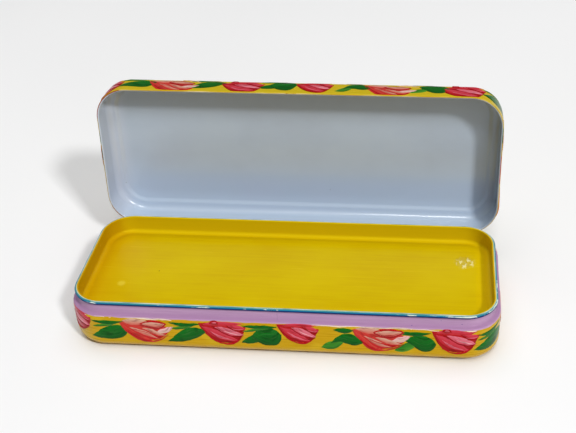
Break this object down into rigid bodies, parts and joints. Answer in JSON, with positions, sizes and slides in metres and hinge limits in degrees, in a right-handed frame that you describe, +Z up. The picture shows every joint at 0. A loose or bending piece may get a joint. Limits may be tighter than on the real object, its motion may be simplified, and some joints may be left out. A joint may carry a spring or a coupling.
{
  "type": "hinged tin pencil case",
  "caption": "Hinged oblong tinplate pencil case with rounded corners, rolled rim, stepped neck, lift-out inner tray and lid that opens just past upright.",
  "frame": {"origin": "centre of the flat bottom panel that the case rests on", "axes": "+X along the case to the right, +Y towards the hinges at the back, +Z up; at rest the lid stands open at its stop"},
  "size_m": [0.201, 0.1026, 0.0912],
  "materials": {
    "outer_enamel": "glossy hand-brushed yellow enamel with painted flowers",
    "tray_enamel": "satin brushed yellow enamel",
    "lid_enamel": "glossy pale grey-blue lacquer inside, yellow enamel outside",
    "hinge_tinplate": "bare tinplate, lightly worn"
  },
  "bodies": {
    "base": {"base_shell": "outer_enamel", "hinge_left_base_leaf": "hinge_tinplate", "hinge_left_pin": "hinge_tinplate", "hinge_right_base_leaf": "hinge_tinplate", "hinge_right_pin": "hinge_tinplate"},
    "lid": {"lid_shell": "lid_enamel", "hinge_left_lid_leaf": "hinge_tinplate", "hinge_right_lid_leaf": "hinge_tinplate"},
    "tray": {"inner_tray": "tray_enamel"}
  },
  "joints": [
    {"name": "lid_hinge", "type": "hinge", "parent": "base", "child": "lid", "pos_m": [0, 0.0383, 0.016], "axis": [-1, 0, 0], "range_deg": [-95, 0]},
    {"name": "tray_lift", "type": "slide", "parent": "base", "child": "tray", "axis": [0, 0, 1], "range_m": [0, 0.0088]}
  ]
}
